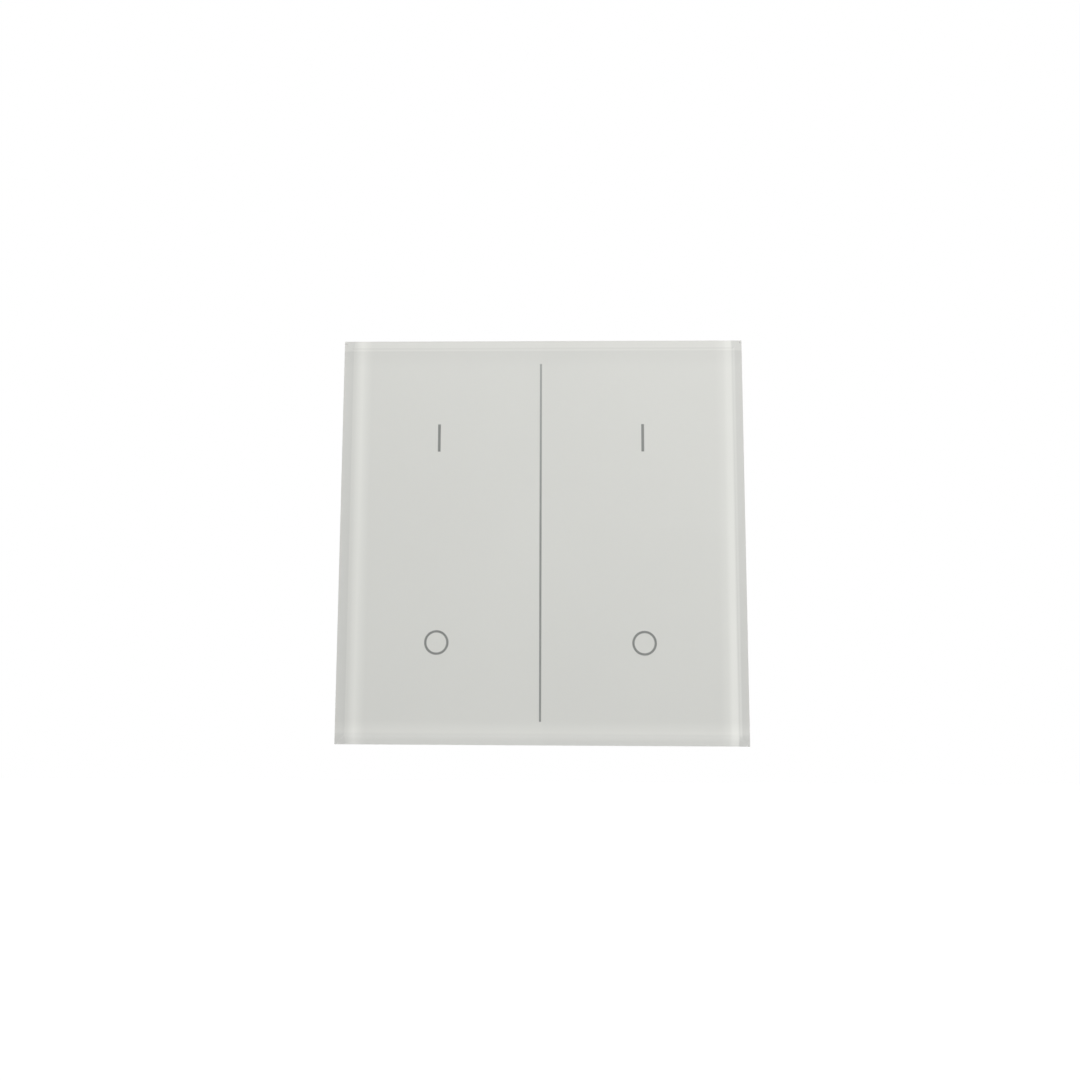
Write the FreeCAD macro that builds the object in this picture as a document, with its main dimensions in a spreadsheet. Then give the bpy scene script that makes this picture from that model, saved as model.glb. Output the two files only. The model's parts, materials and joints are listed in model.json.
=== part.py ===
"""Two-channel push dimmer with a one-piece glass front, for a square wall box.

The wall plane is y = 0 and the origin is midway between the two wall-screw slots. The glass faces -Y,
the module goes into the wall box along +Y, +X is to the right and +Z is up. All sizes are millimetres.
A level is a distance in front of the wall plane, so what is inside the wall has a negative level.
"""
import FreeCAD, Part
import Sketcher
import itertools
import math
import operator
import os
import types

Vector = FreeCAD.Vector
SAME_PLACE = 1e-4

# Driving dimensions: name, value and meaning.
DIMENSIONS = [
    ("face_side", 86.0, "width and height of the glass"),
    ("glass_thickness", 4.0, "glass, front to back"),
    ("bevel_width", 2.2, "polished bevel, seen from the front"),
    ("bevel_drop", 1.0, "polished bevel, along the thickness"),
    ("back_arris", 0.4, "small chamfer round the back of the glass"),
    ("film_border", 0.5, "from the edge of the glass in to the edge of the white film"),
    ("film_thickness", 0.3, "white film"),
    ("tape_thickness", 0.3, "double-sided bonding sheet"),
    ("tray_rim", 3.5, "rim of the tray round the bonding sheet"),
    ("tape_margin", 0.1, "play of the bonding sheet inside that rim"),
    ("ink_thickness", 0.1, "printed marks, let into the film"),
    ("mark_reach", 22.0, "from the centre to each press mark, across and up"),
    ("print_shift", 0.3, "how far the print lies to the left of the middle"),
    ("bar_length", 6.0, "upper press mark, a bar"),
    ("bar_width", 0.6, "stroke of the bar"),
    ("ring_mark_radius", 2.6, "lower press mark, a ring"),
    ("ring_mark_stroke", 0.5, "stroke of the ring"),
    ("divider_margin", 4.1, "from the divider's ends to the film's edge"),
    ("divider_width", 0.45, "stroke of the line between the two channels"),
    ("carrier_inset", 0.8, "how far the tray stands inside the glass edge"),
    ("tray_corner", 1.0, "corner radius of the tray"),
    ("soft_edge", 0.4, "small chamfer round the backs of the tray and the mounting frame"),
    ("carrier_floor", 1.5, "floor of the tray that carries the glass"),
    ("skirt_wall", 1.6, "wall round the tray"),
    ("shadow_gap", 2.0, "from the wall to the tray's skirt"),
    ("pry_width", 8.0, "notch in the foot of the skirt, to lever the pane off"),
    ("pry_depth", 1.4, "depth of that notch, forward from the skirt's back"),
    ("rib_inset", 8.2, "from the tray's edge to its stiffening ribs"),
    ("rib_wall", 1.0, "stiffening rib thickness"),
    ("rib_depth", 1.2, "stiffening rib height"),
    ("foot_radius", 2.2, "foot that presses a dome"),
    ("foot_gap", 0.1, "from a foot to its dome at rest"),
    ("mechanism_space", 4.4, "from the mounting frame's face to the tray"),
    ("frame_inset", 4.0, "from the edge of the glass in to the edge of the mounting frame"),
    ("frame_flange", 1.6, "mounting frame thickness"),
    ("frame_corner", 3.0, "corner radius of the mounting frame"),
    ("frame_rim_wall", 1.2, "raised rim of the mounting frame"),
    ("frame_rim_rise", 1.4, "height of that rim above the flange"),
    ("wall_screw_pitch", 60.3, "standard distance between the wall screws"),
    ("wall_slot_width", 4.0, "slot for a 3.5 mm wall screw"),
    ("wall_slot_length", 6.5, "end to end"),
    ("case_screw_inset", 5.0, "frame-to-housing screws, in from the housing's sides"),
    ("case_screw_radius", 1.3, "thread of a frame-to-housing screw"),
    ("case_screw_head", 2.6, "head radius"),
    ("case_screw_head_rise", 1.4, "head height"),
    ("case_screw_length", 6.0, "under the head"),
    ("screw_play", 0.2, "radial play of a screw in its clearance hole"),
    ("thread_bite", 0.02, "radial gap between a screw and the hole that it threads into"),
    ("drive_width", 0.8, "width of the slots in screw heads"),
    ("drive_depth", 0.7, "depth of the slots in screw heads"),
    ("housing_seat", 0.9, "housing outside the window of the frame, at its sides"),
    ("housing_depth", 27.0, "rear housing, into the wall box"),
    ("housing_wall", 1.6, "rear housing wall"),
    ("housing_corner", 2.0, "corner radius of the rear housing"),
    ("housing_edge", 0.8, "rounding round the back of the rear housing"),
    ("shelf_height", 12.5, "height of the terminal shelf at the housing's foot"),
    ("shelf_depth", 20.6, "depth of the housing at the terminal shelf"),
    ("boss_radius", 2.8, "screw bosses in the housing"),
    ("boss_cover", 0.4, "housing above and below its screw bosses"),
    ("column_radius", 1.4, "columns that carry the power board"),
    ("column_inset", 1.8, "board columns, in from the housing's inner wall and the board's edge"),
    ("column_gap", 0.3, "from the terminal block to the columns above it"),
    ("leg_radius", 1.8, "legs of the lid round the control board screws"),
    ("vent_count", 7, "cooling slots in the back"),
    ("vent_pitch", 4.6, "from one cooling slot to the next"),
    ("vent_width", 1.8, "width of a cooling slot"),
    ("vent_length", 13.0, "length of a cooling slot"),
    ("vent_drop", 11.5, "from the top of the housing's hollow to the middle of the cooling slots"),
    ("top_vent_length", 9.0, "cooling slots in the housing's top, front to back"),
    ("top_vent_middle", 14.5, "middle of those slots, behind the wall plane"),
    ("label_width", 37.0, "shallow bed for the rating label, across"),
    ("label_height", 15.0, "bed for the rating label, up"),
    ("label_depth", 0.3, "bed for the rating label, into the housing's back"),
    ("label_drop", 12.5, "from the cooling slots' lower ends to the middle of the label's bed"),
    ("lid_thickness", 1.6, "insulating lid between the mains side and the buttons"),
    ("lid_play", 0.2, "gap between the lid or power board and the housing wall"),
    ("board_recess", 0.4, "how far the lid's face lies behind the wall plane"),
    ("board_edge", 1.7, "boards outside the slots for the ring's posts"),
    ("board_thickness", 1.6, "both circuit boards"),
    ("window_gap", 0.3, "from the control board to the frame's window"),
    ("axis_rise", 2.6, "tilt axes above the control board"),
    ("gimbal_radius", 19.0, "outer radius of the tilting ring"),
    ("gimbal_width", 3.5, "radial width of the tilting ring"),
    ("gimbal_depth", 2.4, "thickness of the tilting ring"),
    ("pin_radius", 0.75, "pivot pins"),
    ("pin_play", 0.05, "running clearance round a pivot pin"),
    ("pin_hold", 0.01, "radial gap of a pin pressed into the ring"),
    ("pin_seat", 2.8, "length of pin inside the ring"),
    ("ear_gap", 0.6, "from the ring to an ear or post"),
    ("ear_thickness", 2.2, "ears and posts, along the pin"),
    ("ear_width", 6.0, "ears and posts, across the pin"),
    ("ear_drop", 1.7, "from the axis to the free end of an ear"),
    ("snap_mouth", 1.3, "opening through which an ear snaps over its pin"),
    ("post_rise", 1.5, "from the axis to the top of a post"),
    ("post_play", 0.3, "gap round a post in the control board"),
    ("mat_thickness", 0.4, "silicone sheet that joins the domes"),
    ("mat_margin", 0.2, "from the mat's edge to the board's edge"),
    ("mat_pad", 7.0, "side of the square pad round a dome"),
    ("dome_radius", 2.9, "foot of a dome"),
    ("dome_edge", 0.1, "from a dome's foot to the mat's edge"),
    ("dome_rise", 1.2, "height of a dome above the sheet"),
    ("dome_taper", 18.0, "slope of a dome's side, degrees"),
    ("dome_wall", 0.8, "roof and side wall of a dome"),
    ("pill_radius", 0.9, "conductive pill under a dome's roof"),
    ("pill_thickness", 0.4, "conductive pill"),
    ("chip_side", 7.0, "controller chip"),
    ("chip_rise", 1.0, "controller chip height"),
    ("trimmer_inset_x", 7.0, "brightness trimmers, across from the ring's inner edge"),
    ("trimmer_inset_z", 8.3, "brightness trimmers, down from the ring's inner edge"),
    ("trimmer_side", 4.6, "trimmer case"),
    ("trimmer_rise", 1.7, "trimmer case height"),
    ("rotor_radius", 1.6, "turning dial of a trimmer"),
    ("rotor_depth", 1.0, "thickness of the dial"),
    ("rotor_play", 0.08, "running clearance round the dial"),
    ("rotor_proud", 0.2, "how far the dial stands out of its case"),
    ("rotor_slot", 0.5, "width of the screwdriver slot in the dial"),
    ("rotor_slot_depth", 0.5, "depth of that slot"),
    ("board_screw_inset_x", 6.3, "control board screws, across from the ring's inner edge"),
    ("board_screw_inset_z", 7.3, "control board screws, up from the ring's inner edge"),
    ("board_screw_radius", 0.9, "thread of a control board screw"),
    ("board_screw_head", 1.7, "head radius"),
    ("board_screw_head_rise", 0.9, "head height"),
    ("board_screw_length", 2.8, "under the head"),
    ("link_width", 10.4, "board-to-board connector, across"),
    ("link_height", 2.6, "board-to-board connector, up"),
    ("link_z", 12.0, "board-to-board connector, below the middle"),
    ("link_plug_depth", 1.4, "half of the connector on the control board"),
    ("small_part_length", 2.0, "small components on the control board"),
    ("small_part_width", 1.2, "small components on the control board"),
    ("small_part_rise", 0.6, "small components on the control board"),
    ("small_part_gap", 1.0, "between small components, and from them to the chip"),
    ("power_board_level", 3.4, "front of the power board, behind the wall plane"),
    ("terminal_count", 4, "line, neutral and one output for each channel"),
    ("terminal_pitch", 9.5, "from one terminal to the next"),
    ("terminal_wall", 1.15, "end walls of the terminal block beyond the end chambers"),
    ("terminal_height", 10.6, "terminal block, up"),
    ("terminal_window_gap", 0.2, "gap round the terminal block in the housing"),
    ("wire_entry_radius", 2.1, "round wire entry"),
    ("wire_entry_wall", 3.0, "wall between the entry's mouth and the clamp"),
    ("wire_entry_inset", 9.1, "wire entries in front of the terminal shelf's back"),
    ("clamp_width", 6.8, "clamp, across"),
    ("clamp_height", 5.6, "clamp, up"),
    ("clamp_play", 0.2, "gap round a clamp in its chamber"),
    ("clamp_floor", 1.2, "bar of the clamp that grips the wire"),
    ("clamp_opening", 5.0, "opening of the clamp for the wire"),
    ("clamp_nut", 2.6, "threaded bar of the clamp"),
    ("clamp_side", 1.0, "side wall of the clamp"),
    ("clamp_screw_radius", 1.6, "terminal screw thread"),
    ("clamp_screw_head", 2.3, "terminal screw head radius"),
    ("clamp_screw_head_rise", 1.6, "terminal screw head height"),
    ("screw_access_radius", 2.6, "hole in the housing over a terminal screw"),
    ("spreader_margin", 5.4, "from the housing's inner wall to the heat spreader"),
    ("spreader_height", 17.0, "aluminium heat spreader, up"),
    ("spreader_thickness", 1.8, "aluminium heat spreader"),
    ("pad_thickness", 0.2, "insulating sheet under the transistors"),
    ("transistor_x", 8.5, "power transistors, across"),
    ("transistor_width", 10.2, "power transistor"),
    ("transistor_body", 9.2, "moulded part of a power transistor, up"),
    ("transistor_tab", 6.4, "metal tab of a power transistor, up"),
    ("transistor_thickness", 4.5, "moulded part of a power transistor"),
    ("tab_thickness", 1.3, "metal tab of a power transistor"),
    ("lead_pitch", 2.54, "legs of a power transistor"),
    ("lead_side", 0.8, "square section of a leg"),
    ("choke_radius", 5.8, "flanges of a drum choke"),
    ("choke_core_radius", 2.6, "post of a drum choke"),
    ("choke_flange", 1.4, "flange thickness of a drum choke"),
    ("choke_height", 12.0, "drum choke off the board"),
    ("coil_inset", 0.3, "how far a coil stays inside the flanges' edge"),
    ("coil_play", 0.05, "gap between a coil and its core"),
    ("film_cap_width", 12.0, "film capacitor, across"),
    ("film_cap_height", 5.6, "film capacitor, up"),
    ("film_cap_depth", 11.0, "film capacitor off the board"),
    ("bulk_cap_radius", 5.0, "electrolytic capacitor"),
    ("bulk_cap_depth", 14.0, "electrolytic capacitor off the board"),
    ("varistor_radius", 4.4, "surge disc"),
    ("varistor_thickness", 3.4, "surge disc"),
    ("supply_width", 13.0, "low-voltage supply module, across"),
    ("supply_height", 8.6, "low-voltage supply module, up"),
    ("supply_depth", 12.0, "low-voltage supply module off the board"),
    ("fuse_radius", 1.8, "fuse"),
    ("fuse_length", 11.0, "fuse"),
    ("fuse_inset", 2.8, "fuse and driver chips, in from the housing's inner wall"),
    ("driver_side", 4.4, "driver chips on the power board"),
    ("driver_reach", 3.2, "driver chips above and below the fuse's middle"),
    ("driver_rise", 2.2, "driver chip height"),
]

doc = FreeCAD.newDocument("PushDimmer")
sheet = doc.addObject("Spreadsheet::Sheet", "Sizes")


class Size:
    """A number that also knows the sheet formula that it comes from."""

    def __init__(self, number, formula):
        self.number = number
        self.formula = formula

    def __add__(self, other):
        return joined(self, "+", other)

    def __radd__(self, other):
        return joined(other, "+", self)

    def __sub__(self, other):
        return joined(self, "-", other)

    def __rsub__(self, other):
        return joined(other, "-", self)

    def __mul__(self, other):
        return joined(self, "*", other)

    def __rmul__(self, other):
        return joined(other, "*", self)

    def __truediv__(self, other):
        return joined(self, "/", other)

    def __neg__(self):
        return Size(-self.number, f"(-1 * {self.formula})")


OPERATIONS = {"+": operator.add, "-": operator.sub, "*": operator.mul, "/": operator.truediv}


def as_size(value):
    """A Size as it is, or a plain number as a Size."""
    return value if isinstance(value, Size) else Size(float(value), f"({value})")


def joined(left, sign, right):
    """Two sizes added, subtracted, multiplied or divided."""
    left, right = as_size(left), as_size(right)
    number = OPERATIONS[sign](left.number, right.number)
    return Size(number, f"({left.formula} {sign} {right.formula})")


sheet_rows = itertools.count(1)


def write_row(name, content, meaning):
    """Add a named size to the sheet."""
    row = next(sheet_rows)
    sheet.set(f"A{row}", content)
    sheet.setAlias(f"A{row}", name)
    sheet.set(f"B{row}", meaning)


def fill_sheet():
    """Write the driving dimensions into the sheet, and give each back as a Size."""
    named = types.SimpleNamespace()
    for name, value, meaning in DIMENSIONS:
        write_row(name, str(value), meaning)
        setattr(named, name, Size(value, f"Sizes.{name}"))
    doc.recompute()
    return named


def derive(name, value, meaning):
    """Write a size that follows from others into the sheet, and give it back by its name."""
    write_row(name, "=" + value.formula.replace("Sizes.", ""), meaning)
    return Size(value.number, f"Sizes.{name}")


size = fill_sheet()


def bind(thing, prop, value):
    """Tie a property to the sheet."""
    thing.setExpression(prop, as_size(value).formula)


# Levels and sizes that several pieces share. Levels are in front of the wall plane.
lid_face = derive("lid_face", -size.board_recess, "front of the lid")
lid_back = derive("lid_back", lid_face - size.lid_thickness, "back of the lid")
board_face = derive("board_face", lid_face + size.board_thickness, "front of the control board")
axis_level = derive("axis_level", board_face + size.axis_rise, "tilt axes")
dome_top = derive("dome_top", board_face + size.mat_thickness + size.dome_rise, "roof of a dome")
tray_back = derive("tray_back", size.frame_flange + size.mechanism_space, "back of the tray's floor")
tray_front = derive("tray_front", tray_back + size.carrier_floor, "front of the tray's floor")
rim_front = derive("rim_front", tray_front + size.tape_thickness, "front of the tray's rim")
glass_back = derive("glass_back", rim_front + size.film_thickness, "back of the glass")
glass_front = derive("glass_front", glass_back + size.glass_thickness, "front of the glass")
power_front = derive("power_front", -size.power_board_level, "front of the power board")
power_back = derive("power_back", power_front - size.board_thickness, "back of the power board")
inner_back = derive("inner_back", size.housing_wall - size.housing_depth, "floor of the housing")
shelf_back = derive("shelf_back", -size.shelf_depth, "back of the terminal shelf")
shelf_inner = derive("shelf_inner", shelf_back + size.housing_wall, "floor of the terminal shelf")
entry_level = derive("entry_level", shelf_back + size.wire_entry_inset, "middle of the wire entries")

film_side = derive("film_side", size.face_side - 2 * size.film_border, "width of the white film")
tray_half = derive("tray_half", size.face_side / 2 - size.carrier_inset, "half the tray's width")
recess_side = derive("recess_side", 2 * (tray_half - size.tray_rim), "width inside the tray's rim")
rib_reach = derive("rib_reach", tray_half - size.rib_inset, "from the middle to the tray's ribs")
frame_side = derive("frame_side", size.face_side - 2 * size.frame_inset, "width of the frame")
ring_inner = derive("ring_inner", size.gimbal_radius - size.gimbal_width, "inner radius of the ring")
ear_start = derive("ear_start", size.gimbal_radius + size.ear_gap, "from the middle to an ear")
ear_end = derive("ear_end", ear_start + size.ear_thickness, "from the middle to an ear's far side")
slot_end = derive("slot_end", ear_end + size.post_play, "far side of a post's slot in the board")
board_half = derive("board_half", slot_end + size.board_edge, "half the control board's width")
mat_half = derive("mat_half", board_half - size.mat_margin, "half the mat's width")
dome_reach = derive(
    "dome_reach", mat_half - size.dome_edge - size.dome_radius, "from the middle to a dome"
)
window_half = derive("window_half", board_half + size.window_gap, "half the window of the frame")
housing_half_x = derive("housing_half_x", window_half + size.housing_seat, "half its width")
case_screw_x = derive(
    "case_screw_x", housing_half_x - size.case_screw_inset, "frame-to-housing screws, across"
)
case_screw_z = derive(
    "case_screw_z", window_half + size.boss_radius, "frame-to-housing screws, up and down"
)
housing_half_z = derive(
    "housing_half_z", case_screw_z + size.boss_radius + size.boss_cover, "half its height"
)
inner_half_x = derive("inner_half_x", housing_half_x - size.housing_wall, "half the hollow, across")
inner_half_z = derive("inner_half_z", housing_half_z - size.housing_wall, "half the hollow, up")
vent_z = derive("vent_z", inner_half_z - size.vent_drop, "middle of the cooling slots")
housing_foot = derive("housing_foot", -housing_half_z, "height of the housing's foot")
deep_foot = derive(
    "deep_foot", housing_foot + size.shelf_height + size.housing_wall, "foot of the deep hollow"
)
block_top = derive("block_top", housing_foot + size.terminal_height, "top of the terminal block")
column_x = derive("column_x", inner_half_x - size.column_inset, "board columns, across")
upper_column_z = derive("upper_column_z", board_half - size.column_inset, "upper board columns")
lower_column_z = derive(
    "lower_column_z", block_top + size.column_gap + size.column_radius, "lower board columns"
)
fuse_x = derive("fuse_x", inner_half_x - size.fuse_inset, "fuse and driver chips, across")


def new_body(label):
    """An empty body, whose label names the piece."""
    return doc.addObject("PartDesign::Body", label)


def sketch_on(body, name, level, role="XZ_Plane"):
    """A sketch in the body: across the front at a level, or on another origin plane at an offset."""
    plane = next(f for f in body.Origin.OriginFeatures if f.Role == role)
    sketch = body.newObject("Sketcher::SketchObject", name)
    sketch.AttachmentSupport = [(plane, "")]
    sketch.MapMode = "FlatFace"
    bind(sketch, "AttachmentOffset.Base.z", level)
    return sketch


def tie_point(sketch, geometry, vertex, x, y):
    """Hold a point of the sketch at sheet-driven distances from its origin."""
    for kind, value in (("DistanceX", x), ("DistanceY", y)):
        value = as_size(value)
        index = sketch.addConstraint(
            Sketcher.Constraint(kind, -1, 1, geometry, vertex, value.number)
        )
        sketch.setExpression(f"Constraints[{index}]", value.formula)


def tie_radius(sketch, geometry, radius):
    """Hold the radius of a circle or an arc."""
    radius = as_size(radius)
    index = sketch.addConstraint(Sketcher.Constraint("Radius", geometry, radius.number))
    sketch.setExpression(f"Constraints[{index}]", radius.formula)


def draw_polygon(sketch, corners):
    """A closed outline through sheet-driven corners."""
    corners = [(as_size(x), as_size(y)) for x, y in corners]
    lines = []
    for (x, y), (next_x, next_y) in zip(corners, corners[1:] + corners[:1]):
        start = Vector(x.number, y.number, 0)
        end = Vector(next_x.number, next_y.number, 0)
        lines.append(sketch.addGeometry(Part.LineSegment(start, end), False))
    for line, following in zip(lines, lines[1:] + lines[:1]):
        sketch.addConstraint(Sketcher.Constraint("Coincident", line, 2, following, 1))
    for line, (x, y) in zip(lines, corners):
        tie_point(sketch, line, 1, x, y)


def draw_box(sketch, x, y, width, height):
    """A rectangle about a centre."""
    left, right = x - width / 2, x + width / 2
    low, high = y - height / 2, y + height / 2
    draw_polygon(sketch, [(left, low), (right, low), (right, high), (left, high)])


def draw_circle(sketch, x, y, radius):
    """A circle about a centre."""
    centre = Vector(as_size(x).number, as_size(y).number, 0)
    circle = Part.Circle(centre, Vector(0, 0, 1), as_size(radius).number)
    index = sketch.addGeometry(circle, False)
    tie_point(sketch, index, 3, x, y)
    tie_radius(sketch, index, radius)


def draw_slot(sketch, x, y, length, width):
    """A round-ended slot that runs across."""
    radius = width / 2
    reach = (length - width) / 2
    ends = []
    for side, start in ((1, -math.pi / 2), (-1, math.pi / 2)):
        centre = Vector((x + side * reach).number, as_size(y).number, 0)
        circle = Part.Circle(centre, Vector(0, 0, 1), radius.number)
        arc = sketch.addGeometry(Part.ArcOfCircle(circle, start, start + math.pi), False)
        tie_point(sketch, arc, 3, x + side * reach, y)
        tie_radius(sketch, arc, radius)
        ends.append(arc)
    right, left = ends
    for first, second, side in ((right, left, 1), (left, right, -1)):
        start = Vector((x + side * reach).number, as_size(y).number + side * radius.number, 0)
        end = Vector((x - side * reach).number, as_size(y).number + side * radius.number, 0)
        line = sketch.addGeometry(Part.LineSegment(start, end), False)
        sketch.addConstraint(Sketcher.Constraint("Tangent", first, 2, line, 1))
        sketch.addConstraint(Sketcher.Constraint("Tangent", line, 2, second, 1))


def pad(body, sketch, length, towards_wall=False):
    """Material from a sketch, forward unless it is sent towards the wall."""
    feature = body.newObject("PartDesign::Pad", f"{sketch.Name}Pad")
    feature.Profile = sketch
    feature.Reversed = towards_wall
    bind(feature, "Length", length)
    return feature


def pocket(body, sketch, depth, forward=False):
    """A cut from a sketch, towards the wall unless it is sent forward."""
    feature = body.newObject("PartDesign::Pocket", f"{sketch.Name}Pocket")
    feature.Profile = sketch
    feature.Reversed = forward
    bind(feature, "Length", depth)
    return feature


def edges_along_y(shape):
    """Names of the straight edges along Y."""
    names = []
    for index, edge in enumerate(shape.Edges, start=1):
        ends = [vertex.Point for vertex in edge.Vertexes]
        if len(ends) == 2 and abs((ends[1] - ends[0]).normalize().y) > 0.999:
            names.append(f"Edge{index}")
    return names


def edges_at_level(shape, level):
    """Names of the edges that lie at one level."""
    return [
        f"Edge{index}"
        for index, edge in enumerate(shape.Edges, start=1)
        if all(abs(vertex.Point.y + level.number) < SAME_PLACE for vertex in edge.Vertexes)
    ]


def round_edges(body, feature, names, radius):
    """Round the named edges of a body's last feature."""
    fillet = body.newObject("PartDesign::Fillet", f"{feature.Name}Rounds")
    fillet.Base = (feature, names)
    bind(fillet, "Radius", radius)
    return fillet


def chamfer_edges(body, feature, names, width):
    """Chamfer the named edges of a body's last feature."""
    chamfer = body.newObject("PartDesign::Chamfer", f"{feature.Name}Chamfers")
    chamfer.Base = (feature, names)
    bind(chamfer, "Size", width)
    return chamfer


def quarters(x, z):
    """The four places at plus and minus x and z."""
    return [(side * x, end * z) for side in (-1, 1) for end in (-1, 1)]


# Front: the glass, its print and the tray that carries them.


def make_glass_pane():
    """Bevelled glass, the whole visible front."""
    body = new_body("glass_pane")
    slab = sketch_on(body, "GlassSlab", glass_back)
    draw_box(slab, 0, 0, size.face_side, size.face_side)
    pad(body, slab, size.glass_thickness - size.bevel_drop)
    flat_side = size.face_side - 2 * size.bevel_width
    foot = sketch_on(body, "GlassBevelFoot", glass_front - size.bevel_drop)
    draw_box(foot, 0, 0, size.face_side, size.face_side)
    flat = sketch_on(body, "GlassFlat", glass_front)
    draw_box(flat, 0, 0, flat_side, flat_side)
    bevel = body.newObject("PartDesign::AdditiveLoft", "GlassBevel")
    bevel.Profile = foot
    bevel.Sections = [flat]
    bevel.Ruled = True
    doc.recompute()
    chamfer_edges(body, bevel, edges_at_level(body.Shape, glass_back), size.back_arris)


def draw_marks(sketch):
    """Bars above, rings below and the line between the two channels."""
    draw_box(
        sketch,
        -size.print_shift,
        0,
        size.divider_width,
        film_side - 2 * size.divider_margin,
    )
    for side in (-1, 1):
        x = side * size.mark_reach - size.print_shift
        draw_box(sketch, x, size.mark_reach, size.bar_width, size.bar_length)
        draw_circle(sketch, x, -size.mark_reach, size.ring_mark_radius)
        draw_circle(sketch, x, -size.mark_reach, size.ring_mark_radius - size.ring_mark_stroke)


def make_backing_film():
    """White film behind the glass, with a shallow bed for each printed mark."""
    body = new_body("backing_film")
    outline = sketch_on(body, "FilmOutline", rim_front)
    draw_box(outline, 0, 0, film_side, film_side)
    pad(body, outline, size.film_thickness)
    beds = sketch_on(body, "InkBeds", glass_back)
    draw_marks(beds)
    pocket(body, beds, size.ink_thickness)


def make_printed_marks():
    """The marks themselves, flush with the front of the film."""
    body = new_body("printed_marks")
    marks = sketch_on(body, "Marks", glass_back - size.ink_thickness)
    draw_marks(marks)
    pad(body, marks, size.ink_thickness)


def make_bonding_sheet():
    """Double-sided sheet that holds the film and glass to the tray."""
    body = new_body("bonding_sheet")
    outline = sketch_on(body, "SheetOutline", tray_front)
    side = recess_side - 2 * size.tape_margin
    draw_box(outline, 0, 0, side, side)
    pad(body, outline, size.tape_thickness)


def make_pane_carrier():
    """Tray with a skirt, press feet and two ears that snap over the ring's pins."""
    body = new_body("pane_carrier")
    outline = sketch_on(body, "TrayOutline", size.shadow_gap)
    draw_box(outline, 0, 0, 2 * tray_half, 2 * tray_half)
    block = pad(body, outline, rim_front - size.shadow_gap)
    doc.recompute()
    rounded = round_edges(body, block, edges_along_y(body.Shape), size.tray_corner)
    doc.recompute()
    chamfer_edges(body, rounded, edges_at_level(body.Shape, size.shadow_gap), size.soft_edge)
    recess = sketch_on(body, "TapeRecess", rim_front)
    draw_box(recess, 0, 0, recess_side, recess_side)
    pocket(body, recess, size.tape_thickness)
    hollow = sketch_on(body, "TrayHollow", tray_back)
    hollow_side = 2 * (tray_half - size.skirt_wall)
    draw_box(hollow, 0, 0, hollow_side, hollow_side)
    pocket(body, hollow, tray_back - size.shadow_gap)
    notch = sketch_on(body, "PryNotch", size.shadow_gap + size.pry_depth)
    draw_box(notch, 0, size.skirt_wall / 2 - tray_half, size.pry_width, size.skirt_wall)
    pocket(body, notch, size.pry_depth)
    for sign, word in ((-1, "Low"), (1, "High")):
        upright = sketch_on(body, f"Rib{word}Upright", tray_back)
        draw_box(upright, sign * rib_reach, 0, size.rib_wall, 2 * rib_reach)
        pad(body, upright, size.rib_depth, towards_wall=True)
        level = sketch_on(body, f"Rib{word}Level", tray_back)
        draw_box(level, 0, sign * rib_reach, 2 * rib_reach, size.rib_wall)
        pad(body, level, size.rib_depth, towards_wall=True)
    feet = sketch_on(body, "PressFeet", tray_back)
    for x, z in quarters(dome_reach, dome_reach):
        draw_circle(feet, x, z, size.foot_radius)
    pad(body, feet, tray_back - dome_top - size.foot_gap, towards_wall=True)
    ears = sketch_on(body, "Ears", tray_back)
    for side in (-1, 1):
        draw_box(ears, side * (ear_start + ear_end) / 2, 0, size.ear_thickness, size.ear_width)
    pad(body, ears, tray_back - axis_level + size.ear_drop, towards_wall=True)
    add_pin_holes(body, "EarHole", "YZ_Plane")
    mouths = sketch_on(body, "SnapMouths", axis_level)
    for side in (-1, 1):
        middle = side * (ear_start + ear_end) / 2
        draw_box(mouths, middle, 0, size.ear_thickness, size.snap_mouth)
    pocket(body, mouths, size.ear_drop)


def add_pin_holes(body, name, role):
    """Pivot holes through a pair of ears or posts, along X or along Z."""
    for side, word in ((-1, "Low"), (1, "High")):
        hole = sketch_on(body, f"{name}{word}", ear_end if side > 0 else -ear_start, role)
        draw_pin_circle(hole, role, size.pin_radius + size.pin_play)
        pocket(body, hole, size.ear_thickness)


def draw_pin_circle(sketch, role, radius):
    """A circle at the level of the tilt axes, on a plane that the axis crosses."""
    if role == "YZ_Plane":
        draw_circle(sketch, -axis_level, 0, radius)
    else:
        draw_circle(sketch, 0, -axis_level, radius)


# Gimbal: the ring that lets the tray lean both ways.


def make_gimbal_ring():
    """Flat ring with four radial holes for the pivot pins."""
    body = new_body("gimbal_ring")
    outline = sketch_on(body, "RingOutline", axis_level - size.gimbal_depth / 2)
    draw_circle(outline, 0, 0, size.gimbal_radius)
    draw_circle(outline, 0, 0, size.gimbal_radius - size.gimbal_width)
    pad(body, outline, size.gimbal_depth)
    for role in ("YZ_Plane", "XY_Plane"):
        for side, word in ((-1, "Low"), (1, "High")):
            start = size.gimbal_radius - size.pin_seat
            offset = size.gimbal_radius if side > 0 else -start
            hole = sketch_on(body, f"PinSeat{role[:2]}{word}", offset, role)
            draw_pin_circle(hole, role, size.pin_radius + size.pin_hold)
            pocket(body, hole, size.pin_seat)


def make_pivot_pins():
    """Two pins along X for the tray's ears and two along Z for the lid's posts."""
    body = new_body("pivot_pins")
    start = size.gimbal_radius - size.pin_seat
    for role in ("YZ_Plane", "XY_Plane"):
        for side, word in ((-1, "Low"), (1, "High")):
            pin = sketch_on(body, f"Pin{role[:2]}{word}", start if side > 0 else -ear_end, role)
            draw_pin_circle(pin, role, size.pin_radius)
            pad(body, pin, ear_end - start)


# Mounting frame and its screws.


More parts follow.
